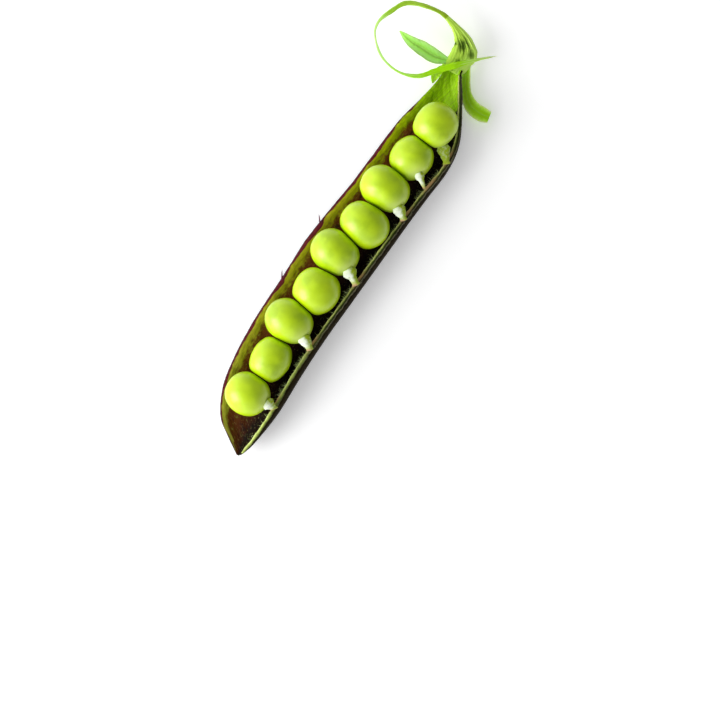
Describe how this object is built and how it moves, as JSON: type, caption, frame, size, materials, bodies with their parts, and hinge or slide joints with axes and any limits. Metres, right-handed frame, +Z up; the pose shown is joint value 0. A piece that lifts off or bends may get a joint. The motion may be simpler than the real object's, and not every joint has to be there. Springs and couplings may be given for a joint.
{
  "type": "pea pod",
  "caption": "Purple-skinned pea pod opened along its seam: one boat-shaped valve lying on its back, with the row of green peas on their stalks, the torn calyx and the curled seam string.",
  "frame": {"origin": "middle of the flat patch under the valve on which the pod rests", "axes": "+X along the pod towards the calyx, +Y towards the dorsal rim (-Y to the rim the seeds hang from), +Z up"},
  "size_m": [0.1074, 0.0322, 0.0122],
  "materials": {
    "pod_skin": "purple-black plant skin with a grey waxy bloom, satin; olive green lining inside",
    "pea": "fresh bright yellow-green seed coat, soft sheen",
    "seed_stalk": "whitish green, moist and matte",
    "calyx": "yellow-green torn plant tissue, ridged",
    "sepal": "leaf green, thin and slightly translucent",
    "string": "pale yellow-green fibre, satin"
  },
  "bodies": {
    "root": {"pod_valve": "pod_skin", "pea_1": "pea", "pea_2": "pea", "pea_3": "pea", "pea_4": "pea", "pea_5": "pea", "pea_6": "pea", "pea_7": "pea", "pea_8": "pea", "pea_9": "pea", "funicle_1": "seed_stalk", "funicle_2": "seed_stalk", "funicle_3": "seed_stalk", "funicle_5": "seed_stalk", "funicle_7": "seed_stalk", "funicle_9": "seed_stalk", "calyx": "calyx", "suture_string": "string", "sepal_left": "sepal", "sepal_right": "sepal", "sepal_small": "sepal"}
  },
  "joints": []
}
